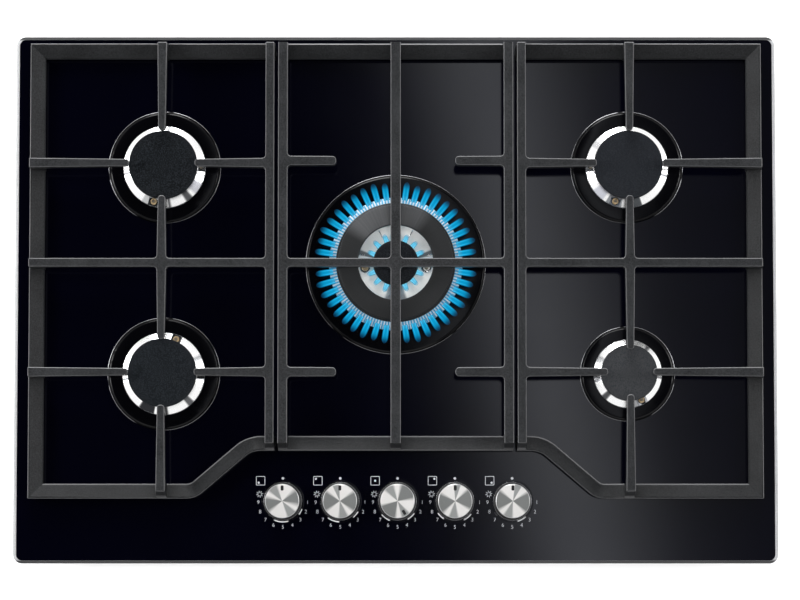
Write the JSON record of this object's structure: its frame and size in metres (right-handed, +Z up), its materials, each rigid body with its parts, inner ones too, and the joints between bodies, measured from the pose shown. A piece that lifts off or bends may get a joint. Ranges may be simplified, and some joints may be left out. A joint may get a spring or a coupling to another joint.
{
  "type": "gas cooktop",
  "caption": "Built-in gas cooktop: black glass top with slim metal trim, cast-iron pan supports, a central wok burner, outer burners and front knobs over a steel casing.",
  "frame": {"origin": "bottom of the casing, under the centre of the glass top", "axes": "+X to the cook's right, +Y to the rear, +Z up out of the glass"},
  "size_m": [0.75, 0.52, 0.097],
  "materials": {
    "black_glass": "polished black glass",
    "stainless": "polished stainless steel",
    "foam_rubber": "closed-cell foam",
    "galvanised_steel": "galvanised sheet",
    "cast_aluminium": "die-cast aluminium",
    "pipe_aluminium": "drawn aluminium",
    "polished_aluminium": "turned and polished aluminium",
    "spun_aluminium": "spun aluminium",
    "brass": "machined brass",
    "steel": "zinc-plated steel",
    "gloss_enamel": "gloss black vitreous enamel on steel",
    "matt_enamel": "matt black vitreous enamel",
    "white_ceramic": "alumina ceramic",
    "black_rubber": "silicone rubber",
    "lead_silicone": "silicone insulation",
    "grey_plastic": "moulded polyamide",
    "cast_iron": "matt enamelled cast iron"
  },
  "bodies": {
    "root": {"glass_top": "black_glass", "edge_trim": "stainless", "sealing_strip": "foam_rubber", "bottom_casing": "galvanised_steel", "burner_cups": "cast_aluminium", "wok_cup": "cast_aluminium", "skirt_gaskets": "foam_rubber", "injectors": "brass", "cup_screws": "steel", "burner_skirts": "gloss_enamel", "wok_skirt": "gloss_enamel", "spark_plugs": "white_ceramic", "spark_pins": "steel", "thermocouples": "steel", "manifold": "cast_aluminium", "inlet_elbow": "brass", "burner_pipes": "pipe_aluminium", "tap_bodies": "brass", "tap_bonnets": "steel", "return_springs": "steel", "stem_seals": "black_rubber", "spark_generator": "grey_plastic", "spark_leads": "lead_silicone", "ignition_switches": "grey_plastic", "terminal_block": "grey_plastic", "cable_gland": "grey_plastic", "worktop_clips": "stainless", "clip_screws": "steel"},
    "tap_plug_1": {"tap_plug_1": "brass"},
    "knob_1": {"knob_1": "spun_aluminium", "spindle_1": "steel"},
    "tap_plug_2": {"tap_plug_2": "brass"},
    "knob_2": {"knob_2": "spun_aluminium", "spindle_2": "steel"},
    "tap_plug_3": {"tap_plug_3": "brass"},
    "knob_3": {"knob_3": "spun_aluminium", "spindle_3": "steel"},
    "tap_plug_4": {"tap_plug_4": "brass"},
    "knob_4": {"knob_4": "spun_aluminium", "spindle_4": "steel"},
    "tap_plug_5": {"tap_plug_5": "brass"},
    "knob_5": {"knob_5": "spun_aluminium", "spindle_5": "steel"},
    "grate_left": {"grate_left": "cast_iron", "grate_left_feet": "black_rubber"},
    "grate_centre": {"grate_centre": "cast_iron", "grate_centre_feet": "black_rubber"},
    "grate_right": {"grate_right": "cast_iron", "grate_right_feet": "black_rubber"},
    "crown_rear_left": {"crown_rear_left": "polished_aluminium"},
    "cap_rear_left": {"cap_rear_left": "matt_enamel"},
    "crown_front_left": {"crown_front_left": "polished_aluminium"},
    "cap_front_left": {"cap_front_left": "matt_enamel"},
    "crown_rear_right": {"crown_rear_right": "polished_aluminium"},
    "cap_rear_right": {"cap_rear_right": "matt_enamel"},
    "crown_front_right": {"crown_front_right": "polished_aluminium"},
    "cap_front_right": {"cap_front_right": "matt_enamel"},
    "wok_crown": {"wok_crown": "polished_aluminium"},
    "wok_outer_cap": {"wok_outer_cap": "matt_enamel"},
    "wok_inner_cap": {"wok_inner_cap": "matt_enamel"}
  },
  "joints": [
    {"name": "knob_1_turn", "type": "hinge", "parent": "root", "child": "tap_plug_1", "pos_m": [-0.1106, -0.199, 0.03], "axis": [0, 0, 1], "range_deg": [0, 270]},
    {"name": "knob_1_press", "type": "slide", "parent": "tap_plug_1", "child": "knob_1", "axis": [0, 0, -1], "range_m": [0, 0.003], "stiffness_N_per_m": 1500, "springref_m": -0.002, "deforming": ["return_springs"]},
    {"name": "knob_2_turn", "type": "hinge", "parent": "root", "child": "tap_plug_2", "pos_m": [-0.0544, -0.199, 0.03], "axis": [0, 0, 1], "range_deg": [0, 270]},
    {"name": "knob_2_press", "type": "slide", "parent": "tap_plug_2", "child": "knob_2", "axis": [0, 0, -1], "range_m": [0, 0.003], "stiffness_N_per_m": 1500, "springref_m": -0.002, "deforming": ["return_springs"]},
    {"name": "knob_3_turn", "type": "hinge", "parent": "root", "child": "tap_plug_3", "pos_m": [0.0018, -0.199, 0.03], "axis": [0, 0, 1], "range_deg": [-210, 60]},
    {"name": "knob_3_press", "type": "slide", "parent": "tap_plug_3", "child": "knob_3", "axis": [0, 0, -1], "range_m": [0, 0.003], "stiffness_N_per_m": 1500, "springref_m": -0.002, "deforming": ["return_springs"]},
    {"name": "knob_4_turn", "type": "hinge", "parent": "root", "child": "tap_plug_4", "pos_m": [0.058, -0.199, 0.03], "axis": [0, 0, 1], "range_deg": [0, 270]},
    {"name": "knob_4_press", "type": "slide", "parent": "tap_plug_4", "child": "knob_4", "axis": [0, 0, -1], "range_m": [0, 0.003], "stiffness_N_per_m": 1500, "springref_m": -0.002, "deforming": ["return_springs"]},
    {"name": "knob_5_turn", "type": "hinge", "parent": "root", "child": "tap_plug_5", "pos_m": [0.1142, -0.199, 0.03], "axis": [0, 0, 1], "range_deg": [0, 270]},
    {"name": "knob_5_press", "type": "slide", "parent": "tap_plug_5", "child": "knob_5", "axis": [0, 0, -1], "range_m": [0, 0.003], "stiffness_N_per_m": 1500, "springref_m": -0.002, "deforming": ["return_springs"]},
    {"name": "grate_left_lift", "type": "slide", "parent": "root", "child": "grate_left", "axis": [0, 0, 1], "range_m": [0, 0.1]},
    {"name": "grate_centre_lift", "type": "slide", "parent": "root", "child": "grate_centre", "axis": [0, 0, 1], "range_m": [0, 0.1]},
    {"name": "grate_right_lift", "type": "slide", "parent": "root", "child": "grate_right", "axis": [0, 0, 1], "range_m": [0, 0.1]},
    {"name": "crown_rear_left_lift", "type": "slide", "parent": "root", "child": "crown_rear_left", "axis": [0, 0, 1], "range_m": [0, 0.006]},
    {"name": "cap_rear_left_lift", "type": "slide", "parent": "crown_rear_left", "child": "cap_rear_left", "axis": [0, 0, 1], "range_m": [0, 0.006]},
    {"name": "crown_front_left_lift", "type": "slide", "parent": "root", "child": "crown_front_left", "axis": [0, 0, 1], "range_m": [0, 0.006]},
    {"name": "cap_front_left_lift", "type": "slide", "parent": "crown_front_left", "child": "cap_front_left", "axis": [0, 0, 1], "range_m": [0, 0.006]},
    {"name": "crown_rear_right_lift", "type": "slide", "parent": "root", "child": "crown_rear_right", "axis": [0, 0, 1], "range_m": [0, 0.006]},
    {"name": "cap_rear_right_lift", "type": "slide", "parent": "crown_rear_right", "child": "cap_rear_right", "axis": [0, 0, 1], "range_m": [0, 0.006]},
    {"name": "crown_front_right_lift", "type": "slide", "parent": "root", "child": "crown_front_right", "axis": [0, 0, 1], "range_m": [0, 0.006]},
    {"name": "cap_front_right_lift", "type": "slide", "parent": "crown_front_right", "child": "cap_front_right", "axis": [0, 0, 1], "range_m": [0, 0.006]},
    {"name": "wok_crown_lift", "type": "slide", "parent": "root", "child": "wok_crown", "axis": [0, 0, 1], "range_m": [0, 0.002]},
    {"name": "wok_outer_cap_lift", "type": "slide", "parent": "wok_crown", "child": "wok_outer_cap", "axis": [0, 0, 1], "range_m": [0, 0.002]},
    {"name": "wok_inner_cap_lift", "type": "slide", "parent": "wok_crown", "child": "wok_inner_cap", "axis": [0, 0, 1], "range_m": [0, 0.005]}
  ]
}
